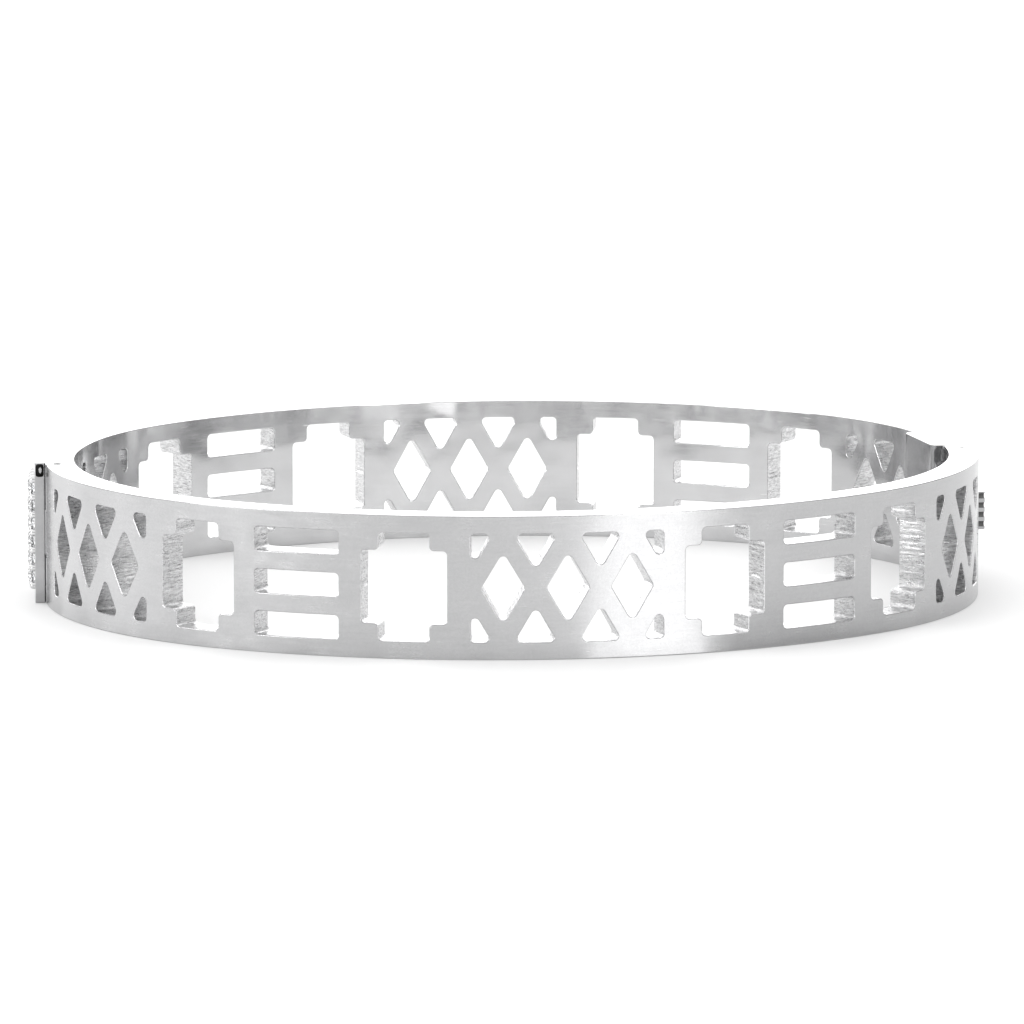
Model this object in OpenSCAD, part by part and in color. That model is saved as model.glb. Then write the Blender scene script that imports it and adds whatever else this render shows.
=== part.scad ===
// Oval openwork bangle in two hinged halves, with a box clasp and a plate of small crystals.
// It lies on its lower rim: the origin is the middle of the oval in the plane that it rests on.
// The hinge is at -X, the clasp at +X, and the front half at -Y.

/* [Band] */
// Width of the oval over its outer faces, from hinge to clasp
outer_w = 62; // [62:1:66]
// Depth of the oval over its outer faces, from front to back
outer_d = 52; // [52:1:54]
// Thickness of the band
wall_t = 2; // [1.9:0.05:2.2]
// Height of the band
band_h = 9.35; // [9:0.05:10]

/* [Openwork] */
// Height of the plain rail along each rim
rail_h = 1.15; // [1:0.05:1.4]
// Width of an upright between two panels
upright_w = 1.5; // [1.2:0.1:1.5]
// Thickness of a slanting stroke round a diamond
stroke_w = 1.2; // [1:0.05:1.4]
// Width of one diamond of a chain, over the middle of its strokes
cell_w = 4.2; // [4:0.1:4.2]
// Width of a stepped window
step_w = 5.6; // [5:0.1:5.6]
// Size of the step in each of its corners
step_notch = 1.15; // [0.8:0.05:1.4]
// Width of a louvred panel
louver_w = 5.8; // [5:0.1:5.8]
// Height of a bar between two slots of a louvred panel
louver_bar = 1.2; // [1:0.05:1.4]
// Radius of the windows' corners
corner_r = 0.3; // [0.15:0.05:0.35]

/* [Hinge] */
// Radius of the three knuckles
knuckle_r = 0.75; // [0.7:0.05:0.8]
// Radius of the pin
pin_r = 0.35; // [0.3:0.01:0.4]
// Radial running clearance of the pin in the front half's knuckle
pin_gap = 0.05; // [0.02:0.01:0.08]
// Clearance round a knuckle and between two knuckles
swing_gap = 0.1; // [0.08:0.01:0.15]
// Distance from the hinge's axis at which the outer corners are cut back
corner_set = 0.55; // [0.5:0.01:0.6]

/* [Crystal plate] */
// Thickness of the plate, which stands proud of the band
plate_t = 0.66; // [0.6:0.02:0.8]
// Number of stones in a column
stone_rows = 6; // [4:1:6]
// Number of columns, side by side along the band
stone_cols = 5; // [3:1:5]
// Diameter of a stone
stone_d = 1.04; // [0.9:0.02:1.06]
// Distance between two columns
col_pitch = 1.15; // [1.14:0.01:1.2]
// Distance between two rows
row_pitch = 1.18; // [1.14:0.01:1.3]

/* [Clasp] */
// Length of the solid box at the end of the back half
box_len = 6.2; // [6:0.1:6.4]
// How far the box stands inwards of the band
box_step = 0.75; // [0.6:0.05:0.8]
// Length of the tongue beyond the joint
tongue_len = 4.8; // [4:0.1:4.9]
// Height of the tongue
tongue_h = 6; // [5:0.1:6.1]
// Clearance round the tongue in the box
tongue_gap = 0.12; // [0.1:0.01:0.14]
// Height of the ribbed thumb piece
thumb_h = 2.55; // [2:0.05:2.8]
// How far the thumb piece stands proud of the band
thumb_out = 1.06; // [0.8:0.02:1.2]

/* [Hidden] */
$fn = 64;
STONES = [for (r = [1:stone_rows], c = [1:stone_cols]) [r, c]];

half_w = outer_w / 2;
half_d = outer_d / 2;
// Each half is three tangent arcs: a tight end arc, a long side arc and an end arc. Two arcs meet on
// the line through their centres, whose slope is four to three, so the sizes stay round numbers.
lean = [0.6, 0.8];
arcs_apart = (half_w - half_d) / (lean.x + lean.y - 1); // between the two centres
end_x = arcs_apart * lean.x; // distance of the end arcs' centres from the middle
side_y = arcs_apart * lean.y; // distance of the side arc's centre beyond the middle
end_r = half_w - end_x;
side_r = end_r + arcs_apart;
end_sweep = atan2(lean.y, lean.x);
end_len = arc_len(end_r, end_sweep);
side_len = arc_len(side_r, 180 - 2 * end_sweep);
half_len = 2 * end_len + side_len;

joint_gap = 0.1; // between the faces of the two halves where they meet
past = 1; // how far a cutting shape runs past what it cuts
mid_h = band_h / 2;

// Panels in order along a half, from the clasp to the hinge: the kind and the number of diamonds.
front_panels = [
  ["diamonds", 3], ["step", 1], ["louver", 1], ["step", 1], ["diamonds", 3],
  ["step", 1], ["louver", 1], ["step", 1], ["diamonds", 3]
];
back_panels = [
  ["diamonds", 2], ["step", 1], ["louver", 1], ["step", 1], ["diamonds", 3],
  ["step", 1], ["louver", 1], ["step", 1], ["diamonds", 2]
];
open_h = band_h - 2 * rail_h;
slope = atan2(open_h, cell_w);
cell_half = (cell_w - stroke_w / sin(slope)) / 2; // half width of the window in a diamond
cell_tall = cell_half * open_h / cell_w; // half height of that window
corner_steps = 4;
front_start = (half_len - run_len(front_panels)) / 2;
back_start = box_len + 0.6;

hinge_x = 0.03 + knuckle_r - half_w; // just clear of tangency with the outer face
knuckle_h = band_h / 3;

plate_r = end_r + 0.02; // the plate's inner face lies just off the band
plate_margin = 0.35; // from the plate's edge to the first corner beads
plate_len = stone_cols * col_pitch + 2 * plate_margin;
plate_start = half_len - corner_set - plate_len;
bead_r = 0.24;
bead_h = 0.34;
stone_lift = 0.15; // from the plate's face up to the girdle
girdle_h = 0.06;
crown_h = 0.2;
pavilion_h = 0.42;
table_part = 0.58; // the table's width as a part of the stone's
stone_gap = 0.03;
facets = 8;
peep = [0.5, 0.8, 0.4]; // width, height and depth of the recess at the top of the plate's end
peep_pin_r = 0.13;

tongue_out = half_w - 0.92 - hinge_x; // outer radius of the tongue about the hinge's axis
tongue_in = half_w - 1.85 - hinge_x;
leaf_t = 0.36;
root_len = 2.2; // how far the tongue reaches into the front half
root_gap = 0.02;
tongue_base = mid_h - tongue_h / 2;
rivet_r = 0.2;
rivet_y = -1.4;
rivet_x = 30;
thumb_y = [1.3, 3.3]; // from and to, past the joint
leaf_end = 0.35; // from the joint to the free end of the outer leaf
rib_n = 4;
rib_pitch = 0.62;
rib_w = 0.28;
rib_deep = 0.3;
pocket = [0.6, 1.2, 1]; // width, height and depth of the recess in the box's end

function arc_len(r, a) = r * a * PI / 180;
function arc_deg(r, len) = len / r * 180 / PI;
function stone_name(s) = str("crystal_", s[0], "_", s[1]);
function panel_w(p) = p[0] == "diamonds" ? p[1] * cell_w : p[0] == "step" ? step_w : louver_w;
function sum(v, n) = n <= 0 ? 0 : v[n - 1] + sum(v, n - 1);
function widths(panels) = [for (p = panels) panel_w(p) + upright_w];
function run_len(panels) = sum(widths(panels), len(panels)) - upright_w;

// The same outline with each corner replaced by an arc of radius r, convex or concave
function rounded(p, r) = [
  for (i = [0:len(p) - 1])
    let (
      here = p[i],
      u = unit(p[(i + len(p) - 1) % len(p)] - here),
      v = unit(p[(i + 1) % len(p)] - here),
      half = acos(u * v) / 2,
      centre = here + unit(u + v) * r / sin(half),
      from = here + u * r / tan(half) - centre,
      to = here + v * r / tan(half) - centre,
      start = atan2(from.y, from.x),
      turn = (atan2(to.y, to.x) - start + 540) % 360 - 180
    )
    for (k = [0:corner_steps])
      centre + r * [cos(start + turn * k / corner_steps), sin(start + turn * k / corner_steps)]
];
function unit(v) = v / norm(v);

// Puts its children on the outer face, len along a half from the clasp: x outwards, y along, z up
module at_station(len) {
  on_first = len < end_len;
  on_last = len > end_len + side_len;
  r = on_first || on_last ? end_r : side_r;
  centre = on_first ? [end_x, 0] : on_last ? [-end_x, 0] : [0, -side_y];
  turn = on_first ? arc_deg(end_r, len)
    : on_last ? 180 - arc_deg(end_r, half_len - len)
    : end_sweep + arc_deg(side_r, len - end_len);
  translate([centre.x, centre.y, 0])
    rotate([0, 0, turn])
      translate([r, 0, 0])
        children();
}

// A piece of a ring between two radii and two angles, standing on z
module ring_piece(r_in, r_out, a_from, a_to, z, h) {
  translate([0, 0, z])
    rotate([0, 0, a_from])
      rotate_extrude(angle = a_to - a_from)
        translate([r_in, 0])
          square([r_out - r_in, h]);
}

// The part of a wall of outer radius r round a centre that lies inside an outline
module arc_wall(centre, r, outline) {
  intersection() {
    translate([centre.x, centre.y, -past])
      difference() {
        cylinder(h = band_h + 2 * past, r = r);
        translate([0, 0, -past])
          cylinder(h = band_h + 4 * past, r = r - wall_t);
      }
    linear_extrude(band_h)
      polygon(outline);
  }
}

// Half of the band before it is pierced, at +Y
module half_wall() {
  end_centre = [end_x, 0];
  side_centre = [0, -side_y];
  corner = side_centre + 50 * lean; // on the line where the arcs meet, outside the oval
  side = half_w + past;
  difference() {
    union() {
      arc_wall(end_centre, end_r, [end_centre, [side, 0], [side, corner.y], corner]);
      arc_wall(side_centre, side_r, [side_centre, corner, [-corner.x, corner.y]]);
      mirror([1, 0, 0])
        arc_wall(end_centre, end_r, [end_centre, [side, 0], [side, corner.y], corner]);
    }
    translate([-outer_w, -past, -past])
      cube([2 * outer_w, past + joint_gap / 2, band_h + 2 * past]);
  }
}

// Cuts one window right through the band. Its outline is along and up from the middle of the band.
module window(len, outline) {
  at_station(len)
    translate([-wall_t - past, 0, mid_h])
      rotate([90, 0, 90])
        linear_extrude(wall_t + 2 * past)
          polygon(rounded(outline, corner_r));
}

// A chain of diamonds between two uprights: the rails and strokes leave triangles between them
module diamond_panel(len, cells) {
  top = open_h / 2;
  for (i = [0:cells - 1])
    window(len + (i + 0.5) * cell_w,
      [[-cell_half, 0], [0, -cell_tall], [cell_half, 0], [0, cell_tall]]);
  for (i = [0:cells], side = [-1, 1])
    window(len + i * cell_w, [
      [i == 0 ? 0 : -cell_half, side * top],
      [i == cells ? 0 : cell_half, side * top],
      [0, side * (top - cell_tall)]
    ]);
}

module step_panel(len) {
  x = step_w / 2;
  y = open_h / 2;
  n = step_notch;
  window(len + x, [
    [n - x, -y], [x - n, -y], [x - n, n - y], [x, n - y],
    [x, y - n], [x - n, y - n], [x - n, y], [n - x, y],
    [n - x, y - n], [-x, y - n], [-x, n - y], [n - x, n - y]
  ]);
}

module louver_panel(len) {
  x = louver_w / 2;
  slot_h = (open_h - 2 * louver_bar) / 3;
  for (i = [0:2]) {
    low = -open_h / 2 + i * (slot_h + louver_bar);
    window(len + x, [[-x, low], [x, low], [x, low + slot_h], [-x, low + slot_h]]);
  }
}

module openwork(panels, start) {
  w = widths(panels);
  for (i = [0:len(panels) - 1]) {
    from = start + sum(w, i);
    if (panels[i][0] == "diamonds")
      diamond_panel(from, panels[i][1]);
    if (panels[i][0] == "step")
      step_panel(from);
    if (panels[i][0] == "louver")
      louver_panel(from);
  }
}

module knuckle(z_from, z_to) {
  translate([hinge_x, 0, z_from])
    cylinder(h = z_to - z_from, r = knuckle_r);
}

// Room for the other half's knuckle, and for its outer corner as it swings
module swing_room(z_from, z_to) {
  knuckle_room = knuckle_r + swing_gap;
  translate([hinge_x, 0, z_from])
    cylinder(h = z_to - z_from, r = knuckle_room);
  translate([-half_w - past, -corner_set, z_from])
    cube([past + half_w + hinge_x, 2 * corner_set, z_to - z_from]);
}

module pin_bore(r) {
  translate([hinge_x, 0, -past])
    cylinder(h = band_h + 2 * past, r = r);
}

// A piece of a ring about the hinge's axis, from and to in mm past the joint at the clasp
module about_hinge(r_in, r_out, y_from, y_to, z, h) {
  translate([hinge_x, 0, 0])
    ring_piece(r_in, r_out, arc_deg(r_out, y_from), arc_deg(r_out, y_to), z, h);
}

// The block that thickens the end of the back half inwards
module clasp_block() {
  inner_r = end_r - wall_t - box_step;
  middle_r = end_r - wall_t / 2;
  a = arc_deg(end_r - wall_t, box_len);
  outline = [
    [end_x + inner_r, joint_gap / 2],
    [end_x + middle_r, joint_gap / 2],
    [end_x + middle_r * cos(a / 2), middle_r * sin(a / 2)],
    [end_x + middle_r * cos(a), middle_r * sin(a)],
    [end_x + inner_r * cos(a), inner_r * sin(a)]
  ];
  linear_extrude(band_h)
    polygon(rounded(outline, corner_r));
}

// The hollow for the tongue, the notch for the thumb piece and the small recess in the end
module clasp_room() {
  about_hinge(tongue_in - tongue_gap, tongue_out + tongue_gap, -past, tongue_len + 0.4,
    tongue_base - 0.15, tongue_h + 0.3);
  translate([half_w - 1.5, -past, mid_h - thumb_h / 2 - tongue_gap])
    cube([1.5 + past, past + thumb_y[1] + tongue_gap, thumb_h + 2 * tongue_gap]);
  translate([half_w - wall_t - pocket.x - 0.02, joint_gap / 2, band_h - 0.15 - pocket.y])
    round_slot(pocket);
}

// A slot with round ends, width along x, height along z, and depth along y
module round_slot(size) {
  r = size.x / 2;
  for (z = [r, size.y - r])
    translate([r, -past, z])
      rotate([-90, 0, 0])
        cylinder(h = past + size.z, r = r);
  translate([0, -past, r])
    cube([size.x, past + size.z, size.y - size.x]);
}

module back_half() {
  color("lightgray")
    difference() {
      union() {
        difference() {
          union() {
            half_wall();
            clasp_block();
          }
          swing_room(knuckle_h - swing_gap / 2, 2 * knuckle_h + swing_gap / 2);
        }
        knuckle(0, knuckle_h - swing_gap / 2);
        knuckle(2 * knuckle_h + swing_gap / 2, band_h);
      }
      openwork(back_panels, back_start);
      pin_bore(pin_r);
      clasp_room();
    }
}

module front_half() {
  color("lightgray")
    difference() {
      union() {
        difference() {
          mirror([0, 1, 0])
            half_wall();
          swing_room(-past, knuckle_h + swing_gap / 2);
          swing_room(2 * knuckle_h - swing_gap / 2, band_h + past);
        }
        knuckle(knuckle_h + swing_gap / 2, 2 * knuckle_h - swing_gap / 2);
      }
      mirror([0, 1, 0])
        openwork(front_panels, front_start);
      pin_bore(pin_r + pin_gap);
      about_hinge(tongue_in - root_gap, tongue_out + root_gap, -root_len - root_gap, past,
        tongue_base - root_gap, tongue_h + 2 * root_gap);
      translate([rivet_x, rivet_y, -past])
        cylinder(h = band_h + 2 * past, r = rivet_r);
    }
}

module hinge_pin() {
  color("silver")
    translate([hinge_x, 0, 0.05])
      cylinder(h = band_h - 0.1, r = pin_r);
}

// Puts its children on the plate's face, with z outwards: rows from the bottom, columns from the back
module at_stone(row, col) {
  len = plate_start + plate_margin + (col - 0.5) * col_pitch;
  at_station(len)
    translate([plate_r + plate_t - end_r, 0, mid_h + (row - (stone_rows + 1) / 2) * row_pitch])
      rotate([0, 90, 0])
        children();
}

module crystal_plate() {
  a_from = 180 - arc_deg(end_r, half_len - plate_start);
  a_to = 180 - arc_deg(end_r, corner_set);
  face_r = plate_r + plate_t;
  color("silver")
    difference() {
      union() {
        translate([-end_x, 0, 0])
          ring_piece(plate_r, face_r, a_from, a_to, 0, band_h);
        for (row = [0:stone_rows], col = [0:stone_cols])
          at_stone(row + 0.5, col + 0.5)
            translate([0, 0, -plate_t / 2])
              cylinder(h = plate_t / 2 + bead_h, r = bead_r, $fn = 24);
      }
      for (s = STONES)
        at_stone(s[0], s[1])
          stone_seat();
      at_station(half_len - corner_set)
        translate([plate_r - end_r + (plate_t - peep.x) / 2, 0, band_h - 0.2 - peep.y])
          mirror([0, 1, 0])
            difference() {
              round_slot(peep);
              translate([peep.x / 2, 0, peep.y / 2])
                rotate([-90, 0, 0])
                  cylinder(h = peep.z + past, r = peep_pin_r, $fn = 24);
            }
    }
}

// The cone that a stone's underside sits in, with a little room round it
module stone_seat() {
  slant = stone_d / 2 / pavilion_h;
  deep = pavilion_h - stone_lift + stone_gap;
  translate([0, 0, -deep])
    cylinder(h = deep + stone_lift, r1 = stone_gap, r2 = stone_gap + (deep + stone_lift) * slant, $fn = 24);
}

// n points round the z axis at height z, turned by a part of one step
function ring(n, r, z, turn) = [
  for (i = [0:n - 1]) [r * cos((i + turn) * 360 / n), r * sin((i + turn) * 360 / n), z]
];

// A round stone: an eight-sided table, sixteen crown facets, a girdle and eight facets below
module crystal(row, col) {
  r = stone_d / 2;
  n = facets;
  girdle_top = stone_lift + girdle_h;
  // The rings are the table, from 0, the girdle's top, from n, and its bottom, from 2n, then the tip.
  points = concat(
    ring(n, r * table_part, girdle_top + crown_h, 0),
    ring(n, r, girdle_top, 0.5),
    ring(n, r, stone_lift, 0.5),
    [[0, 0, stone_lift - pavilion_h]]
  );
  faces = concat(
    [[for (i = [n - 1:-1:0]) i]],
    [for (i = [0:n - 1]) [i, (i + 1) % n, n + i]],
    [for (i = [0:n - 1]) [(i + 1) % n, n + (i + 1) % n, n + i]],
    [for (i = [0:n - 1]) [n + i, n + (i + 1) % n, 2 * n + (i + 1) % n, 2 * n + i]],
    [for (i = [0:n - 1]) [2 * n + i, 2 * n + (i + 1) % n, 3 * n]]
  );
  color("white")
    at_stone(row, col)
      polyhedron(points, faces);
}

// A leaf that is folded back on itself at its tip, with the thumb piece on the outer side
module clasp_tongue() {
  fold = [tongue_in + leaf_t, tongue_out - leaf_t]; // radii of the gap between the two leaves
  x_leaf = hinge_x + tongue_out - leaf_t / 2;
  x_flush = half_w - 0.1;
  x_out = half_w + thumb_out;
  thumb_z = mid_h - thumb_h / 2;
  color("silver")
    difference() {
      union() {
        difference() {
          about_hinge(tongue_in, tongue_out, -root_len, tongue_len, tongue_base, tongue_h);
          about_hinge(fold[0], fold[1], 0, tongue_len - leaf_t, tongue_base - past, tongue_h + 2 * past);
          translate([hinge_x + (fold[0] + fold[1]) / 2, 0, 0])
            cube([past, leaf_end, band_h]);
        }
        translate([0, 0, thumb_z])
          linear_extrude(thumb_h)
            polygon([
              [x_leaf, thumb_y[0] - 0.8], [x_flush, thumb_y[0] - 0.8], [x_flush, thumb_y[0]],
              [x_out, thumb_y[0]], [x_out, thumb_y[1]], [x_leaf, thumb_y[1]]
            ]);
      }
      for (i = [0:rib_n - 1])
        translate([x_out - rib_deep, thumb_y[0] - past,
          mid_h + (i - (rib_n - 1) / 2) * rib_pitch - rib_w / 2])
          cube([rib_deep + past, thumb_y[1] - thumb_y[0] + 2 * past, rib_w]);
      translate([rivet_x, rivet_y, -past])
        cylinder(h = band_h + 2 * past, r = rivet_r);
    }
}

module tongue_pin() {
  color("silver")
    translate([rivet_x, rivet_y, 0.03])
      cylinder(h = band_h - 0.06, r = rivet_r);
}

back_half();
front_half();
hinge_pin();
crystal_plate();
clasp_tongue();
tongue_pin();
for (s = STONES)
  crystal(s[0], s[1]);
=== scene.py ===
import math
import bmesh
import bpy
import numpy as np
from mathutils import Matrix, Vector, geometry, kdtree


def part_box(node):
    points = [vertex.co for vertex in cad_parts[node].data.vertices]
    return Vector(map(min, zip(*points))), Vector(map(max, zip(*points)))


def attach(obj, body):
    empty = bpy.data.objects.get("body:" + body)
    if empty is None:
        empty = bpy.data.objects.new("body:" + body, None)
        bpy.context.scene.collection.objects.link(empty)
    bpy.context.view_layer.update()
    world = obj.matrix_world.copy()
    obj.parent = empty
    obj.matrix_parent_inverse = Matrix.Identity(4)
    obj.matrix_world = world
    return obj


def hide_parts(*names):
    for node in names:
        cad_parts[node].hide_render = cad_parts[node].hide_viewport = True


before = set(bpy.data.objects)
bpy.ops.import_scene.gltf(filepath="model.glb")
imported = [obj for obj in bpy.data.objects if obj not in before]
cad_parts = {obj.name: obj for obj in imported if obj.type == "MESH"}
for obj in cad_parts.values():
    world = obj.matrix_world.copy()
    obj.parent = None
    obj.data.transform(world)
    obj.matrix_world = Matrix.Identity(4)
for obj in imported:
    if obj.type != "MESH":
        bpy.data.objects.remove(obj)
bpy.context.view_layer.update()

mm = 0.001
scene = bpy.context.scene
bandHeight = round(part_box("front_half")[1].z / mm, 3)
midHeight = bandHeight / 2


# The oval: a tight arc at each end and a long arc along each side, measured on the outer face

oval = {
    "width": 62.0,
    "depth": 52.0,
    "wall": 2.0,
    "lean": (0.6, 0.8),  # direction of the line on which two arcs meet
    "gap": 0.05,  # from the joint's plane to the end of a half
}

outside = oval["width"] / 2
arcsApart = (oval["width"] - oval["depth"]) / 2 / (sum(oval["lean"]) - 1)
endX = arcsApart * oval["lean"][0]
sideY = arcsApart * oval["lean"][1]
endRadius = outside - endX
sideRadius = endRadius + arcsApart
endSweep = math.atan2(oval["lean"][1], oval["lean"][0])
endRun = endRadius * endSweep
sideRun = sideRadius * (math.pi - 2 * endSweep)
halfRun = 2 * endRun + sideRun


def ovalAt(run, depth):
    # points run mm along the outer face from the clasp and depth mm inwards, with their outward directions
    run = np.asarray(run, float)
    onFirst = run < endRun
    onLast = run > endRun + sideRun
    onEnd = onFirst | onLast
    angle = np.where(onFirst, run / endRadius, endSweep + (run - endRun) / sideRadius)
    angle = np.where(onLast, math.pi - (halfRun - run) / endRadius, angle)
    centreX = np.where(onFirst, endX, np.where(onLast, -endX, 0.0))
    centreY = np.where(onEnd, 0.0, -sideY)
    reach = np.where(onEnd, endRadius, sideRadius) - depth
    out = np.stack([np.cos(angle), np.sin(angle)], -1)
    return np.stack([centreX, centreY], -1) + out * reach[..., None], out


def underOval(points):
    # the other way round: depth below the outer face, outward direction and run, for points in plan
    x, y = points[:, 0], np.abs(points[:, 1])
    onEnd = np.abs(x) * oval["lean"][1] > (y + sideY) * oval["lean"][0]
    centreX = np.where(onEnd, np.sign(x) * endX, 0.0)
    centreY = np.where(onEnd, 0.0, -sideY)
    away = np.stack([x - centreX, y - centreY], -1)
    far = np.linalg.norm(away, axis=1)
    out = away / np.maximum(far, 1e-9)[:, None]
    angle = np.arctan2(away[:, 1], away[:, 0])
    run = np.where(onEnd, np.where(x > 0, angle * endRadius, halfRun - (math.pi - angle) * endRadius),
                   endRun + (angle - endSweep) * sideRadius)
    out[:, 1] *= np.where(points[:, 1] < 0, -1, 1)
    return np.where(onEnd, endRadius, sideRadius) - far, out, run


# Outlines with rounded corners, which can be set back into the metal to break an edge

def unit(v):
    return v / np.linalg.norm(v)


def polar(radius, angle):
    return radius * math.cos(angle), radius * math.sin(angle)


def rectangle(left, low, right, high):
    return [(left, low), (right, low), (right, high), (left, high)]


def cornerArcs(outline, radius, metalInside):
    # outline runs anticlockwise: the centre, first angle, turn and radius of each corner's arc, and 1 if it
    # grows when it is set back or -1 if it shrinks
    points = [np.array(p, float) for p in outline]
    arcs = []
    for i, here in enumerate(points):
        before = unit(points[i - 1] - here)
        after = unit(points[(i + 1) % len(points)] - here)
        half = math.acos(max(-1.0, min(1.0, float(before @ after)))) / 2
        centre = here + unit(before + after) * radius / math.sin(half)
        start = here + before * radius / math.tan(half) - centre
        end = here + after * radius / math.tan(half) - centre
        first = math.atan2(start[1], start[0])
        turn = (math.atan2(end[1], end[0]) - first + math.pi) % (2 * math.pi) - math.pi
        grows = (turn > 0) != metalInside
        arcs.append((centre, first, turn, radius, 1 if grows else -1))
    return arcs


def arcPoints(arc, setBack, steps=5):
    centre, first, turn, radius, grows = arc
    angles = first + turn * np.linspace(0, 1, steps + 1)
    return centre + (radius + grows * setBack) * np.stack([np.cos(angles), np.sin(angles)], -1)


def loopPoints(arcs, setBack, step):
    # the whole outline, set back by that much, always with the same number of points
    loop = []
    for i, arc in enumerate(arcs):
        following = arcs[(i + 1) % len(arcs)]
        flat = np.linalg.norm(arcPoints(following, 0, 1)[0] - arcPoints(arc, 0, 1)[-1])
        count = max(1, math.ceil(flat / step))
        here = arcPoints(arc, setBack)
        there = arcPoints(following, setBack)[0]
        loop.extend(here)
        loop.extend(here[-1] + (there - here[-1]) * k / count for k in range(1, count))
    return np.array(loop)


def brokenEdge(edge, thickness):
    # (set back, depth) of the rings that round both edges of a wall
    near = [(edge * (1 - math.sin(a)), edge * (1 - math.cos(a))) for a in (0, math.pi / 4, math.pi / 2)]
    return near, [(back, thickness - deep) for back, deep in reversed(near)]


# The openwork, unrolled: the run along the band, and the height

between = [("step", 1), ("louver", 1), ("step", 1)]
openwork = {
    "rail": 1.15,
    "upright": 1.5,
    "stroke": 1.2,
    "cellWidth": 4.2,
    "stepWidth": 5.6,
    "notch": 1.15,
    "louverWidth": 5.8,
    "louverBar": 1.2,
    "corner": 0.3,
    "front": [("diamonds", 3), *between, ("diamonds", 3), *between, ("diamonds", 3)],
    "back": [("diamonds", 2), *between, ("diamonds", 3), *between, ("diamonds", 2)],
    "backStart": 6.8,  # just past the box of the clasp
}


def panelWidth(kind, count):
    return count * openwork["cellWidth"] if kind == "diamonds" else openwork[kind + "Width"]


def diamondPanel(start, count):
    top = midHeight - openwork["rail"]
    cell = openwork["cellWidth"]
    slope = math.atan2(2 * top, cell)
    half = (cell - openwork["stroke"] / math.sin(slope)) / 2
    tall = half * 2 * top / cell
    shapes = [[(x - half, 0), (x, -tall), (x + half, 0), (x, tall)]
              for x in (start + (i + 0.5) * cell for i in range(count))]
    for i in range(count + 1):
        x = start + i * cell
        left = x if i == 0 else x - half
        right = x if i == count else x + half
        shapes.append([(left, -top), (right, -top), (x, tall - top)])
        shapes.append([(right, top), (left, top), (x, top - tall)])
    return shapes


def stepPanel(start):
    x = openwork["stepWidth"] / 2
    y = midHeight - openwork["rail"]
    n = openwork["notch"]
    quarter = [(x - n, -y), (x - n, n - y), (x, n - y)]
    right = quarter + [(a, -b) for a, b in reversed(quarter)]
    outline = right + [(-a, -b) for a, b in right]
    return [[(start + x + a, b) for a, b in outline]]


def louverPanel(start):
    y = midHeight - openwork["rail"]
    bar = openwork["louverBar"]
    slot = (2 * y - 2 * bar) / 3
    end = start + openwork["louverWidth"]
    lows = [i * (slot + bar) - y for i in range(3)]
    return [rectangle(start, low, end, low + slot) for low in lows]


def windowOutlines(panels, start):
    shapes = []
    for kind, count in panels:
        if kind == "diamonds":
            shapes += diamondPanel(start, count)
        elif kind == "step":
            shapes += stepPanel(start)
        else:
            shapes += louverPanel(start)
        start += panelWidth(kind, count) + openwork["upright"]
    return shapes


def panelsRun(panels):
    return sum(panelWidth(*p) + openwork["upright"] for p in panels) - openwork["upright"]


# Meshes

def placed(name, data):
    thing = bpy.data.objects.new(name, data)
    scene.collection.objects.link(thing)
    return thing


def discard(piece):
    mesh = piece.data
    bpy.data.objects.remove(piece)
    bpy.data.meshes.remove(mesh)


def meshObject(name, verts, faces):
    # points in mm, as one closed surface facing outwards
    mesh = bpy.data.meshes.new(name)
    mesh.from_pydata((np.asarray(verts, float) * mm).tolist(), [], [list(map(int, f)) for f in faces])
    work = bmesh.new()
    work.from_mesh(mesh)
    bmesh.ops.recalc_face_normals(work, faces=work.faces)
    work.to_mesh(mesh)
    work.free()
    return placed(name, mesh)


def stripFaces(first, second, count):
    # quads between two rings of count points that start at those numbers
    return [(first + i, first + (i + 1) % count, second + (i + 1) % count, second + i) for i in range(count)]


def upright(x, y, z):
    return (x, y, z)


def prism(name, outline, corner, low, high, edge, place=upright, step=0.4, grooves=()):
    # an outline with rounded corners drawn up from low to high, with its edges broken
    # grooves are (set back, height) pairs between the two ends
    arcs = cornerArcs(outline, corner, True)
    near, far = brokenEdge(edge, high - low)
    verts, faces, starts = [], [], []
    for setBack, rise in near + list(grooves) + far:
        loop = loopPoints(arcs, setBack, step)
        starts.append(len(verts))
        verts.extend(place(a, b, low + rise) for a, b in loop)
    count = len(verts) // len(starts)
    for first, second in zip(starts, starts[1:]):
        faces += stripFaces(first, second, count)
    faces.append(list(range(count)))
    faces.append(list(range(starts[-1], starts[-1] + count)))
    return meshObject(name, verts, faces)


def lathe(name, profile, place, sides=40):
    # a closed profile of (radius, height) turned round the z axis, whose first and last points lie on it
    verts = [place(0, 0, profile[0][1])]
    angles = [2 * math.pi * i / sides for i in range(sides)]
    for radius, height in profile[1:-1]:
        verts.extend(place(*polar(radius, a), height) for a in angles)
    verts.append(place(0, 0, profile[-1][1]))
    last = len(verts) - 1
    faces = []
    for k in range(1, last - sides, sides):
        faces += stripFaces(k, k + sides, sides)
    for i in range(sides):
        after = (i + 1) % sides
        faces.append((0, 1 + after, 1 + i))
        faces.append((last, last - sides + i, last - sides + after))
    return meshObject(name, verts, faces)


def aboutAxis(spot):
    # places what is drawn round the z axis about an upright axis through that spot
    return lambda x, y, z: (spot[0] + x, spot[1] + y, z)


def slabTool(name, outline, low, high):
    count = len(outline)
    verts = [(x, y, z) for z in (low, high) for x, y in outline]
    faces = [list(range(count))[::-1], list(range(count, 2 * count))] + stripFaces(0, count, count)
    return meshObject(name, verts, faces)


def boxTool(name, low, high):
    return slabTool(name, rectangle(*low[:2], *high[:2]), low[2], high[2])


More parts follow.
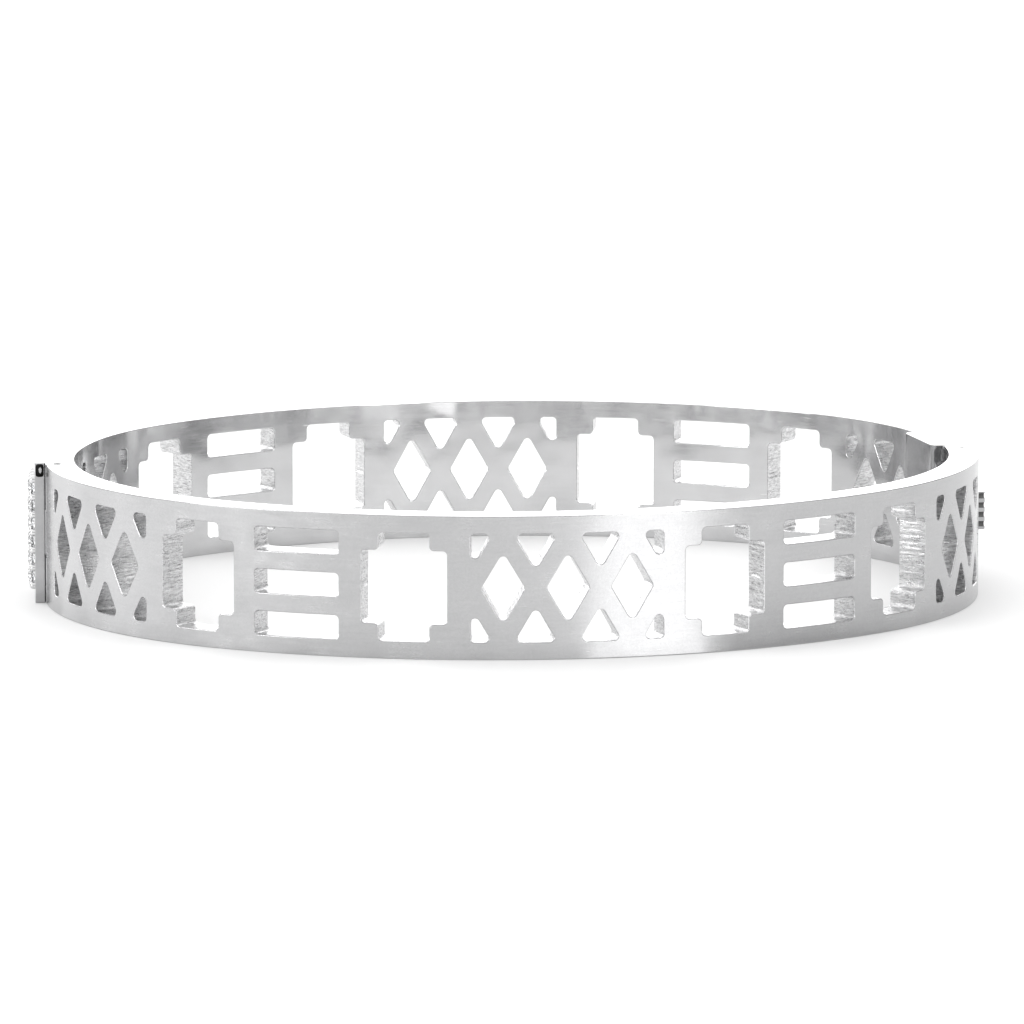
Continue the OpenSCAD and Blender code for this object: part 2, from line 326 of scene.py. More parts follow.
def rod(name, radius, low, high, place, edge, sides=40):
    # a turned pin with rounded edges
    bend = [math.pi / 2 * k / 3 for k in range(4)]
    foot = [(radius - edge + edge * math.sin(a), low + edge - edge * math.cos(a)) for a in bend]
    head = [(r, low + high - h) for r, h in reversed(foot)]
    return lathe(name, [(0, low)] + foot + head + [(0, high)], place, sides)


def carve(piece, operation, tools):
    # joins or cuts with each tool in turn, then takes the tools away
    for tool in tools:
        step = piece.modifiers.new("carve", "BOOLEAN")
        step.operation = operation
        step.solver = "MANIFOLD"
        step.object = tool
    bpy.context.view_layer.update()
    shaped = piece.evaluated_get(bpy.context.evaluated_depsgraph_get())
    mesh = bpy.data.meshes.new_from_object(shaped)
    piece.modifiers.clear()
    old = piece.data
    piece.data = mesh
    bpy.data.meshes.remove(old)
    mesh.name = piece.name
    for tool in tools:
        discard(tool)


def gather(items, label, width=1, kind=float):
    values = np.zeros(len(items) * width, kind)
    items.foreach_get(label, values)
    return values.reshape(-1, width) if width > 1 else values


def faceFacts(mesh):
    # normals, centres and areas
    faces = mesh.polygons
    return gather(faces, "normal", 3), gather(faces, "center", 3) / mm, gather(faces, "area") / mm ** 2


shading = {
    "sharp": 50,  # degrees: an edge that bends more stays sharp
    "weight": 1.5,  # how far large faces prevail over narrow ones
    "near": 0.002,  # mm: what is that near to the oval follows it
    "along": 0.99,  # and if it looks that straight outwards
    "level": 0.9999,  # or upwards, as the rims do
}


def softNormals(piece, onOval=True):
    # large faces keep their own direction and the narrow ones along their edges turn smoothly between them
    mesh = piece.data
    mesh.shade_smooth()
    faceNormals, _, areas = faceFacts(mesh)
    corners = len(mesh.loops)
    vertexOf = gather(mesh.loops, "vertex_index", kind=np.int32)
    sizes = gather(mesh.polygons, "loop_total", kind=np.int32)
    faceOf = np.repeat(np.arange(len(sizes)), sizes)
    order = np.argsort(vertexOf, kind="stable")
    counts = np.bincount(vertexOf, minlength=len(mesh.vertices))
    starts = np.concatenate([[0], np.cumsum(counts)[:-1]])
    rank = np.zeros(corners, np.int64)
    rank[order] = np.arange(corners) - starts[vertexOf[order]]
    own = faceNormals[faceOf]
    total = np.zeros((corners, 3))
    limit = math.cos(math.radians(shading["sharp"]))
    weight = areas ** shading["weight"]
    for shift in range(int(counts.max())):
        live = np.nonzero(counts[vertexOf] > shift)[0]
        vertex = vertexOf[live]
        other = faceOf[order[starts[vertex] + (rank[live] + shift) % counts[vertex]]]
        near = np.einsum("ij,ij->i", faceNormals[other], own[live]) > limit
        total[live] += faceNormals[other] * (weight[other] * near)[:, None]
    if onOval:
        depth, out, _ = underOval(gather(mesh.vertices, "co", 3)[vertexOf] / mm)
        flat = np.concatenate([out, np.zeros((corners, 1))], 1)
        facing = np.einsum("ij,ij->i", own, flat)
        outer = (np.abs(depth) < shading["near"]) & (facing > shading["along"])
        inner = (np.abs(depth - oval["wall"]) < shading["near"]) & (facing < -shading["along"])
        total[outer] = flat[outer]
        total[inner] = -flat[inner]
        level = np.abs(own[:, 2]) > shading["level"]
        total[level] = own[level]
    total /= np.maximum(np.linalg.norm(total, axis=1), 1e-12)[:, None]
    mesh.normals_split_custom_set(total.tolist())


# The pierced band

bandFinish = {
    "edge": 0.065,  # how far the edges are broken
    "cutStep": 0.08,  # distance between two striations of the laser cut
    "cutRough": 0.012,  # their height
    "cutDrift": 1.2,  # how far they change on their way through the wall, as an angle in radians
    "nickDeep": 0.05,  # the start mark of the cut at mid-height, on every upright wall
    "nickHigh": 0.16,
    "nickFrom": 2.5,  # a window as tall as that has such marks
    "nickWalls": 0.9,  # on walls that look that straight along the band
    "wallDepths": (0.26, 0.6, 1.0, 1.4, 1.74),
    "wallShares": (0.35, 0.8, 1.0, 1.0, 0.6),  # how rough the cut is at those depths
    "gridStep": 0.45,  # between the points that let the faces bend
    "gridClear": 0.2,  # from them to the rims
    "railStep": 0.4,
    "endCorner": 0.27,
    "seed": 11,
}


def cutRoughness(loop, outwards, windowHeights, chance):
    # what each ring of a window's wall is pushed into the metal: streaks through the band and one nick
    smooth = chance.normal(0, 1, len(loop))
    drift = chance.normal(0, 1, len(loop))
    onUpright = np.abs(outwards[:, 0]) > bandFinish["nickWalls"]
    near = np.abs(loop[:, 1]) / bandFinish["nickHigh"]
    tall = max(windowHeights) - min(windowHeights) > bandFinish["nickFrom"]
    nick = np.where(onUpright & tall & (near < 1), np.cos(near * math.pi) * bandFinish["nickDeep"], 0)
    rings = []
    shares = bandFinish["wallShares"]
    for k, share in enumerate(shares):
        turn = k / (len(shares) - 1) * bandFinish["cutDrift"]
        streak = smooth * math.cos(turn) + drift * math.sin(turn)
        rings.append(share * (streak * bandFinish["cutRough"] + nick))
    return rings


def fillFace(loops, span):
    # triangles between the outer loop and the windows, with a grid of points so that they bend evenly
    points = np.concatenate(loops)
    near = kdtree.KDTree(len(points))
    for i, p in enumerate(points):
        near.insert((*p, 0), i)
    near.balance()
    gridStep = bandFinish["gridStep"]
    grid = []
    for i in range(1, int((span[1] - span[0]) / gridStep)):
        for j in range(1, int(bandHeight / gridStep) + 1):
            spot = (span[0] + i * gridStep, j * gridStep - midHeight)
            clear = abs(spot[1]) < midHeight - bandFinish["gridClear"]
            if clear and near.find((*spot, 0))[2] > gridStep / 3:
                grid.append(spot)
    edges = []
    start = 0
    for loop in loops:
        edges += [(start + i, start + (i + 1) % len(loop)) for i in range(len(loop))]
        start += len(loop)
    allPoints = [Vector(p) for p in np.concatenate([points, grid])]
    found = geometry.delaunay_2d_cdt(allPoints, edges, [], 0, 1e-7, True)
    places, triangles, origins = found[0], np.array(found[2]), found[3]
    source = np.array([o[0] if o else -1 for o in origins])
    spots = np.array([tuple(p) for p in places])
    middles = spots[triangles].mean(1)
    inWindow = np.zeros(len(triangles), bool)
    for loop in loops[1:]:
        low, high = loop.min(0), loop.max(0)
        nearby = np.nonzero(((middles > low) & (middles < high)).all(1))[0]
        inside = np.zeros(len(nearby), bool)
        x, y = middles[nearby].T
        for a, b in zip(loop, np.roll(loop, -1, 0)):
            crosses = (a[1] > y) != (b[1] > y)
            with np.errstate(divide="ignore", invalid="ignore"):
                inside ^= crosses & (x < (b[0] - a[0]) * (y - a[1]) / (b[1] - a[1]) + a[0])
        inWindow[nearby[inside]] = True
    return source[triangles[~inWindow]], np.array(grid)


def piercedBand(name, panels, start, side):
    # side is 1 for the back half and -1 for the front half
    chance = np.random.default_rng(bandFinish["seed"] + side)
    wall = oval["wall"]
    near, far = brokenEdge(bandFinish["edge"], wall)
    middle = [(0.0, depth) for depth in bandFinish["wallDepths"]]
    rings = near + middle + far
    span = (oval["gap"], halfRun - oval["gap"])
    rim = rectangle(span[0], -midHeight, span[1], midHeight)
    outlines = [(cornerArcs(rim, bandFinish["endCorner"], True), bandFinish["railStep"], None)]
    for shape in windowOutlines(panels, start):
        heights = [p[1] for p in shape]
        outlines.append((cornerArcs(shape, openwork["corner"], False), bandFinish["cutStep"], heights))
    nudge = 0.01  # to find which way a set back goes
    verts, faces, faceLoops, firstRing, lastRing = [], [], [], [], []

    def place(flat, depth):
        spots, _ = ovalAt(flat[:, 0], depth)
        verts.extend(np.column_stack([spots[:, 0], spots[:, 1] * side, flat[:, 1] + midHeight]))

    for arcs, step, heights in outlines:
        base = loopPoints(arcs, 0, step)
        count = len(base)
        outwards = (loopPoints(arcs, nudge, step) - base) / nudge
        pushes = [np.zeros(count)] * len(rings)
        if heights:
            pushes[len(near):-len(far)] = cutRoughness(base, outwards, heights, chance)
        begin = len(verts)
        for (setBack, depth), push in zip(rings, pushes):
            place(loopPoints(arcs, setBack, step) + outwards * push[:, None], depth)
        for k in range(len(rings) - 1):
            faces += stripFaces(begin + k * count, begin + (k + 1) * count, count)
        faceLoops.append(loopPoints(arcs, rings[0][0], step))
        firstRing += range(begin, begin + count)
        lastRing += range(begin + (len(rings) - 1) * count, begin + len(rings) * count)
    triangles, grid = fillFace(faceLoops, span)
    for ring, depth in ((firstRing, 0.0), (lastRing, wall)):
        numbers = np.array(list(ring) + list(range(len(verts), len(verts) + len(grid))))
        place(grid, depth)
        faces += numbers[triangles].tolist()
    return meshObject(name, verts, faces)


hinge = {
    "knuckle": 0.75,
    "inset": 0.03,  # from the outer face to the knuckles
    "pin": 0.33,
    "bore": 0.345,
    "clear": 0.1,  # round a knuckle and between two knuckles
    "cornerSet": 0.55,  # from the axis to where the halves and the plate end
    "edge": 0.05,
    "pinIn": (0.05, 0.05),  # from the lower and the upper rim to the pin's ends
    "pinEdge": 0.06,  # of this and of the tongue's pin
}

clasp = {
    "boxRun": 6.2,
    "boxStep": 0.75,
    "boxCorner": 0.45,
    "tongueIn": 59.37,  # radii about the hinge's axis
    "tongueOut": 60.30,
    "tongueRun": 4.8,
    "tongueHigh": 6.0,
    "clear": 0.12,
    "leaf": 0.36,
    "root": 2.2,
    "relief": 0.05,  # from the joint to where the root narrows to the leaf
    "leafEnd": 0.35,
    "tongueCorner": 0.05,
    "tongueEdge": 0.04,
    "thumbHigh": 2.55,
    "thumbOut": 1.06,
    "thumbFrom": 1.3,
    "thumbTo": 3.3,
    "neckFrom": 0.5,
    "neckIn": 0.1,  # under the band's outer face
    "neckLap": 0.5,  # into the thumb piece
    "notchIn": 1.5,  # from the outer face to the bottom of the thumb piece's notch
    "roomAhead": 0.4,  # the tongue's room beyond its tip, and above and below it
    "roomBeside": 0.15,
    "seat": 0.02,  # round the tongue's root
    "bends": (1.2, 2.4, 3.6),  # points on the leaf's way, so that it follows the swing
    "leafIn": 0.03,  # from the folded leaf's inner side to the thumb piece's foot
    "rivet": (30.0, -1.4),
    "rivetRadius": 0.2,
    "rivetGap": 0.03,  # round it in the band, and in the tongue
    "rivetFit": 0.005,
    "rivetIn": (0.03, 0.12),  # from the lower and the upper rim to its ends
    "pocket": (0.6, 1.2, 0.55),  # width, height and depth
    "pocketIn": 0.02,  # from the wall's inner face
    "pocketTop": 9.2,
    "pocketRound": 0.98,  # share of half its width that its corners take
    "pocketEdge": 0.05,
    "pocketPast": 0.6,  # how far its tool reaches out of the metal
}

third = bandHeight / 3
hingeAxis = (hinge["inset"] + hinge["knuckle"] - outside, 0)
atHinge = aboutAxis(hingeAxis)
tongueBase = midHeight - clasp["tongueHigh"] / 2
tongueTop = tongueBase + clasp["tongueHigh"]
past = 1.0  # how far a cutting tool reaches out of the metal
keen = 0.001  # the broken edge of a cutting tool, as good as none
bendPoints = 25  # along a curved side of the plate or of a tool


def knuckle(name, low, high):
    return rod(name, hinge["knuckle"], low, high, atHinge, hinge["edge"], sides=64)


def swingRoom(low, high):
    # what the other half's knuckle and the corner beside it need
    reach = hinge["knuckle"] + hinge["clear"]
    return [
        rod("swing", reach, low, high, atHinge, keen, sides=64),
        boxTool("corner", (-outside - past, -hinge["cornerSet"], low),
                (hingeAxis[0], hinge["cornerSet"], high)),
    ]


def boreTool(radius, spot):
    return rod("bore", radius, -past, bandHeight + past, aboutAxis(spot), keen)


def aboutHinge(name, inner, outer, fromY, toY, low, high):
    # a piece of a ring about the hinge's axis
    turn = np.linspace(fromY / outer, toY / outer, bendPoints)
    arcs = [[atHinge(*polar(radius, a), 0)[:2] for a in turn] for radius in (inner, outer)]
    return slabTool(name, arcs[0] + arcs[1][::-1], low, high)


def pocketTool():
    # a slot with round ends, cut along y from the joint
    wide, high, deep = clasp["pocket"]
    left, low = outside - oval["wall"] - wide - clasp["pocketIn"], clasp["pocketTop"] - high

    def place(a, b, c):
        return (left + a, c, low + b)

    return prism("pocket", rectangle(0, 0, wide, high), wide / 2 * clasp["pocketRound"], -clasp["pocketPast"],
                 deep, clasp["pocketEdge"], place, step=0.2)


def claspBlock():
    inner = endRadius - oval["wall"] - clasp["boxStep"]
    middle = endRadius - oval["wall"] / 2
    a = clasp["boxRun"] / (endRadius - oval["wall"])
    outline = [(endX + inner, oval["gap"]), (endX + middle, oval["gap"])]
    for radius, angle in ((middle, a / 2), (middle, a), (inner, a)):
        x, y = polar(radius, angle)
        outline.append((endX + x, y))
    return prism("claspBlock", outline, clasp["boxCorner"], 0, bandHeight, bandFinish["edge"])


def backHalf():
    print("back half")
    band = piercedBand("bandBack", openwork["back"], openwork["backStart"], 1)
    room = hinge["clear"] / 2
    carve(band, "UNION", [claspBlock()])
    carve(band, "DIFFERENCE", swingRoom(third - room, 2 * third + room))
    carve(band, "UNION", [knuckle("low", 0, third - room), knuckle("high", 2 * third + room, bandHeight)])
    gap = clasp["clear"]
    notchHalf = clasp["thumbHigh"] / 2 + gap
    carve(band, "DIFFERENCE", [
        boreTool(hinge["bore"], hingeAxis),
        aboutHinge("room", clasp["tongueIn"] - gap, clasp["tongueOut"] + gap,
                   -past, clasp["tongueRun"] + clasp["roomAhead"],
                   tongueBase - clasp["roomBeside"], tongueTop + clasp["roomBeside"]),
        boxTool("notch", (outside - clasp["notchIn"], -past, midHeight - notchHalf),
                (outside + past, clasp["thumbTo"] + gap, midHeight + notchHalf)),
        pocketTool(),
    ])
    return band


def frontHalf():
    print("front half")
    start = (halfRun - panelsRun(openwork["front"])) / 2
    band = piercedBand("bandFront", openwork["front"], start, -1)
    room = hinge["clear"] / 2
    carve(band, "DIFFERENCE",
          swingRoom(-past, third + room) + swingRoom(2 * third - room, bandHeight + past))
    carve(band, "UNION", [knuckle("middle", third + room, 2 * third - room)])
    seat = clasp["seat"]
    carve(band, "DIFFERENCE", [
        boreTool(hinge["bore"], hingeAxis),
        aboutHinge("root", clasp["tongueIn"] - seat, clasp["tongueOut"] + seat, -clasp["root"] - seat, past,
                   tongueBase - seat, tongueTop + seat),
        boreTool(clasp["rivetRadius"] + clasp["rivetGap"], clasp["rivet"]),
    ])
    return band


# The clasp's tongue and the pins

thumbRibs = {
    "count": 4,  # grooves, which run round the thumb piece
    "pitch": 0.63,
    "wide": 0.36,
    "deep": 0.065,
    "square": 0.6,  # 1 has round bottoms, and less has flatter ones
    "up": 0.05,  # the grooves lie that much above the middle
    "corner": 0.08,
    "edge": 0.055,
}


def ribGrooves(height):
    # (set back, height) of the rings that go into each groove, round its bottom and out again
    middle = (thumbRibs["count"] - 1) / 2
    rings = []
    for i in range(thumbRibs["count"]):
        centre = height / 2 + thumbRibs["up"] + (i - middle) * thumbRibs["pitch"]
        for a in (math.pi * k / 8 for k in range(9)):
            deep = thumbRibs["deep"] * math.sin(a) ** thumbRibs["square"]
            rings.append((deep, centre - thumbRibs["wide"] / 2 * math.cos(a)))
    return rings


def claspTongue():
    print("clasp tongue")
    inner, outer, leaf = clasp["tongueIn"], clasp["tongueOut"], clasp["leaf"]
    root, step, tip, fold = -clasp["root"], -clasp["relief"], clasp["tongueRun"], clasp["leafEnd"]
    out, back = clasp["bends"], clasp["bends"][::-1]

    def along(radius, *ys):
        return [atHinge(*polar(radius, y / outer), 0)[:2] for y in ys]

    outline = along(outer, root, step) + along(inner + leaf, step, *out, tip - leaf)
    outline += along(outer - leaf, tip - leaf, *back, fold) + along(outer, fold, *out, tip)
    outline += along(inner, tip, *back, 0, root)
    tongue = prism("claspTongue", outline, clasp["tongueCorner"], tongueBase, tongueTop, clasp["tongueEdge"],
                   step=0.5)
    low, high = midHeight - clasp["thumbHigh"] / 2, midHeight + clasp["thumbHigh"] / 2
    foot = hingeAxis[0] + outer - leaf + clasp["leafIn"]
    plan = rectangle(foot, clasp["thumbFrom"], outside + clasp["thumbOut"], clasp["thumbTo"])
    thumb = prism("thumb", plan, thumbRibs["corner"], low, high, thumbRibs["edge"], step=0.2,
                  grooves=ribGrooves(clasp["thumbHigh"]))
    neck = boxTool("neck", (hingeAxis[0] + outer - leaf / 2, clasp["neckFrom"], low),
                   (outside - clasp["neckIn"], clasp["thumbFrom"] + clasp["neckLap"], high))
    carve(tongue, "UNION", [neck, thumb])
    carve(tongue, "DIFFERENCE", [boreTool(clasp["rivetRadius"] + clasp["rivetFit"], clasp["rivet"])])
    return tongue


def pin(name, radius, spot, fromLow, fromHigh):
    return rod(name, radius, fromLow, bandHeight - fromHigh, aboutAxis(spot), hinge["pinEdge"], sides=48)


# The crystal plate and its stones

plate = {
    "gap": 0.02,  # from the band to its inner face
    "thick": 0.66,
    "rows": 6,
    "columns": 5,
    "rowPitch": 1.18,
    "columnPitch": 1.15,
    "margin": 0.35,
    "edge": 0.045,
    "corner": 0.045,
    "bead": 0.24,
    "beadHigh": 0.34,
    "beadFlat": 0.9,  # height of its dome, as a share of its radius
    "beadFoot": 0.2,  # down into the plate
    "peep": (0.54, 0.86, 0.34),  # width, height and depth of the recess at the top of its end
    "peepCorner": 0.17,
    "peepEdge": 0.05,
    "peepPast": 0.5,  # how far its tool stands out of the plate
    "peepDown": 0.07,
    "peepPin": 0.12,
    "peepPinTall": 1.8,  # the pin in the recess is an upright oval
    "peepPinAside": 0.05,
    "peepPinIn": 0.06,  # from the plate's end to the pin's
    "peepPinFoot": 0.05,  # into the bottom of the recess
    "peepPinEdge": 0.04,
}

stone = {
    "radius": 0.52,
    "lift": 0.15,  # from the plate's face up to the girdle
    "girdle": 0.06,
    "crown": 0.2,
    "pavilion": 0.42,
    "table": 0.58,
    "star": 0.8,
    "lower": 0.3,
    "seatGap": 0.03,
    "seatPast": 0.06,  # how far the tool for a seat stands out of the plate
    "seed": 5,
}

plateRun = plate["columns"] * plate["columnPitch"] + 2 * plate["margin"]
plateStart = halfRun - hinge["cornerSet"] - plateRun
plateInner = endRadius + plate["gap"]
plateFace = plateInner + plate["thick"]
rowNumbers, columnNumbers = range(1, plate["rows"] + 1), range(1, plate["columns"] + 1)
stonePlaces = [(row, column) for row in rowNumbers for column in columnNumbers]


def atStone(row, column):
    # places points that are given on the plate's face, with z outwards
    run = plateStart + plate["margin"] + (column - 0.5) * plate["columnPitch"]
    out = ovalAt([run], 0.0)[1][0]
    z = midHeight + (row - (plate["rows"] + 1) / 2) * plate["rowPitch"]
    spot = np.array([-endX, 0]) + out * plateFace

    def place(x, y, rise):
        # x runs up and y back along the plate
        return (spot[0] + out[0] * rise + out[1] * y, spot[1] + out[1] * rise - out[0] * y, z + x)

    return place


def joined(name, pieces):
    # several meshes as one
    work = bmesh.new()
    for piece in pieces:
        work.from_mesh(piece.data)
    mesh = bpy.data.meshes.new(name)
    work.to_mesh(mesh)
    work.free()
    for piece in pieces:
        discard(piece)
    return placed(name, mesh)


def stoneSeat(row, column):
    gap = stone["seatGap"]
    deep = stone["pavilion"] - stone["lift"] + gap
    rim = gap + (deep + stone["seatPast"]) * stone["radius"] / stone["pavilion"]
    profile = [(0, -deep), (gap, -deep), (rim, stone["seatPast"]), (0, stone["seatPast"])]
    return lathe("seat", profile, atStone(row, column), sides=32)


def bead(row, column):
    # row and column of the stone before it
    r, high = plate["bead"], plate["beadHigh"]
    rise = r * plate["beadFlat"]
    dome = [(r * math.cos(a), high - rise + rise * math.sin(a)) for a in (math.pi / 10 * k for k in range(5))]
    profile = [(0, -plate["beadFoot"]), (r, -plate["beadFoot"])] + dome + [(0, high)]
    return lathe("bead", profile, atStone(row + 0.5, column + 0.5), sides=20)


def crystalPlate():
    print("crystal plate")
    end = math.pi - hinge["cornerSet"] / endRadius
    angles = np.linspace(math.pi - (halfRun - plateStart) / endRadius, end, bendPoints)
    face, back = [[polar(radius, a) for a in angles] for radius in (plateFace, plateInner)]
    outline = [(x - endX, y) for x, y in face + back[::-1]]
    body = prism("crystalPlate", outline, plate["corner"], 0, bandHeight, plate["edge"], step=0.5)
    carve(body, "DIFFERENCE", [joined("seats", [stoneSeat(*spot) for spot in stonePlaces])])
    beads = [bead(row, column) for row in (0, *rowNumbers) for column in (0, *columnNumbers)]
    carve(body, "UNION", [joined("beads", beads)])
    wide, high, deep = plate["peep"]
    across = np.array(polar(1, end))
    along = np.array([-across[1], across[0]])  # out of the plate's end
    foot = across * (plateInner + (plate["thick"] - wide) / 2) - np.array([endX, 0])
    low = bandHeight - plate["peepDown"] - high

    def inEnd(a, b, c):
        spot = foot + across * a - along * c
        return (spot[0], spot[1], low + b)

    def onPin(a, b, c):
        return inEnd(wide / 2 - plate["peepPinAside"] + a, high / 2 + b * plate["peepPinTall"], -c)

    recess = prism("recess", rectangle(0, 0, wide, high), plate["peepCorner"], -plate["peepPast"], deep,
                   plate["peepEdge"], inEnd, step=0.2)
    carve(body, "DIFFERENCE", [recess])
    stub = rod("stub", plate["peepPin"], -deep - plate["peepPinFoot"], -plate["peepPinIn"], onPin,
               plate["peepPinEdge"], sides=32)
    carve(body, "UNION", [stub])
    return body


def cutStone(name, row, column, turn):
    # a round brilliant: table, stars, kites, halves, girdle and the same below
    r = stone["radius"]
    girdleTop = stone["lift"] + stone["girdle"]
    tableZ = girdleTop + stone["crown"]
    tip = stone["lift"] - stone["pavilion"]
    tableR = r * stone["table"]
    starR = r * stone["star"]
    lowR = r * stone["lower"]
    half = math.cos(math.pi / 8)
    starZ = tableZ - (starR * half - tableR) * stone["crown"] / (r - tableR)
    lowZ = tip + lowR * half * stone["pavilion"] / r
    place = atStone(row, column)

    def ring(count, radius, z, shift):
        return [place(*polar(radius, 2 * math.pi * (i + shift) / count + turn), z) for i in range(count)]

    verts = ring(8, tableR, tableZ, 0) + ring(8, starR, starZ, 0.5) + ring(16, r, girdleTop, 0)
    verts += ring(16, r, stone["lift"], 0) + ring(8, lowR, lowZ, 0.5) + [place(0, 0, tip)]
    star, top, bottom, low, point = 8, 16, 32, 48, 56
    faces = [list(range(8))]
    for k in range(8):
        after, before = (k + 1) % 8, (k + 7) % 8
        faces.append((k, after, star + k))
        faces.append((k, star + k, top + 2 * k, star + before))
        faces.append((point, low + before, bottom + 2 * k, low + k))
        for first, rim in ((star, top), (low, bottom)):
            a, b, c = rim + 2 * k, rim + 2 * k + 1, rim + (2 * k + 2) % 16
            faces.append((first + k, a, b))
            faces.append((first + k, b, c))
    faces += stripFaces(top, bottom, 16)
    return meshObject(name, verts, faces)


# Materials: effects that several finishes share are node groups

def feed(tree, socket, value):
    # a fixed value, or what another node puts out
    if isinstance(value, bpy.types.NodeSocket):
        tree.links.new(value, socket)
    else:
        socket.default_value = value


def feedAll(tree, sockets, values):
    for label, value in values.items():
        feed(tree, sockets[label], value)


def mathNode(tree, operation, first, second, clamp=False):
    node = tree.nodes.new("ShaderNodeMath")
    node.operation = operation
    node.use_clamp = clamp
    feedAll(tree, node.inputs, {0: first, 1: second})
    return node.outputs[0]


def times(tree, first, second):
    return mathNode(tree, "MULTIPLY", first, second)


def plus(tree, first, second, clamp=False):
    return mathNode(tree, "ADD", first, second, clamp)


def noiseNode(tree, across, along, detail, rough):
    # noise over object coordinates in mm, with so many features to the mm in height and along the band
    place = tree.nodes.new("ShaderNodeTexCoord")
    join = tree.nodes.new("ShaderNodeCombineXYZ")
    split = tree.nodes.new("ShaderNodeSeparateXYZ")
    noise = tree.nodes.new("ShaderNodeTexNoise")
    feed(tree, split.inputs[0], place.outputs["Object"])
    for i, size in enumerate((along, along, across)):
        feed(tree, join.inputs[i], times(tree, times(tree, split.outputs[i], 1 / mm), size))
    feedAll(tree, noise.inputs, {
        "Vector": join.outputs[0], "Scale": 1.0, "Detail": detail, "Roughness": rough})
    return noise.outputs["Fac"]


def rampNode(tree, value, low=0.35, high=0.65):
    # 0 below low and 1 above high, between which noise mostly lies
    node = tree.nodes.new("ShaderNodeMapRange")
    feedAll(tree, node.inputs, {"Value": value, "From Min": low, "From Max": high})
    return node.outputs[0]


def nodeGroup(name, inputs, build):
    # build gets the group and its inputs, and gives the source of each output
    group = bpy.data.node_groups.new(name, "ShaderNodeTree")
    for label, value in inputs.items():
        socket = group.interface.new_socket(name=label, in_out="INPUT", socket_type="NodeSocketFloat")
        socket.default_value = value
    given = group.nodes.new("NodeGroupInput").outputs
    made = build(group, *[given[label] for label in inputs])
    for label in made:
        group.interface.new_socket(name=label, in_out="OUTPUT", socket_type="NodeSocketFloat")
    feedAll(group, group.nodes.new("NodeGroupOutput").inputs, made)
    return group


def followingLines(group, across, along):
    # fine lines that follow the band
    fine = noiseNode(group, across, along, 3.0, 0.6)
    return {"Height": mathNode(group, "SUBTRACT", fine, 0.5), "Mask": fine}


def softClouds(group, size, low, high):
    # as handling and polishing leave
    mask = rampNode(group, noiseNode(group, size, size, 4.0, 0.55), 0.32, 0.68)
    span = mathNode(group, "SUBTRACT", high, low)
    return {"Value": plus(group, times(group, mask, span), low), "Mask": mask}


def slowWaves(group, size, strength):
    # as a polishing wheel leaves, which bend what the metal mirrors
    return {"Height": times(group, noiseNode(group, size, size, 1.0, 0.4), strength)}


def evenSpeckle(group, size, strength):
    # as blasting or a sanding belt leaves
    speck = noiseNode(group, size, size, 2.0, 0.7)
    return {"Height": times(group, speck, strength), "Mask": rampNode(group, speck)}


def shortScratches(group, across, along, amount):
    # 1 where the noise is over a limit that falls with the amount, and 0 beside it
    streak = noiseNode(group, across, along, 1.0, 0.3)
    limit = mathNode(group, "SUBTRACT", 0.95, times(group, amount, 0.5))
    return {"Mask": rampNode(group, streak, limit, plus(group, limit, 0.08))}


grain = nodeGroup("steelGrain", {"Lines per mm": 12.0, "Breaks per mm": 0.6}, followingLines)
mottle = nodeGroup("steelMottle", {"Clouds per mm": 0.35, "Low": 0.2, "High": 0.4}, softClouds)
waves = nodeGroup("polishWaves", {"Waves per mm": 0.3, "Strength": 0.05}, slowWaves)
sand = nodeGroup("sandGrain", {"Grains per mm": 9.0, "Strength": 0.001}, evenSpeckle)
hairlines = nodeGroup("hairlines", {"Lines per mm": 9.0, "Breaks per mm": 0.3, "Amount": 0.3}, shortScratches)


def useGroup(tree, group, *values):
    # with a value for each of its inputs
    node = tree.nodes.new("ShaderNodeGroup")
    node.node_tree = group
    for socket, value in zip(node.inputs, values):
        socket.default_value = value
    return node.outputs


def mixColour(tree, factor, first, second):
    # between two colours, each fixed or from another node
    node = tree.nodes.new("ShaderNodeMix")
    node.data_type = "RGBA"
    feed(tree, node.inputs["Factor"], factor)
    for label, value in (("A", first), ("B", second)):
        feed(tree, node.inputs[label], (*value, 1) if isinstance(value, tuple) else value)
    return node.outputs["Result"]


def newMaterial(name):
    material = bpy.data.materials.new(name)
    material.use_nodes = True
    tree = material.node_tree
    return material, tree, tree.nodes["Principled BSDF"].inputs


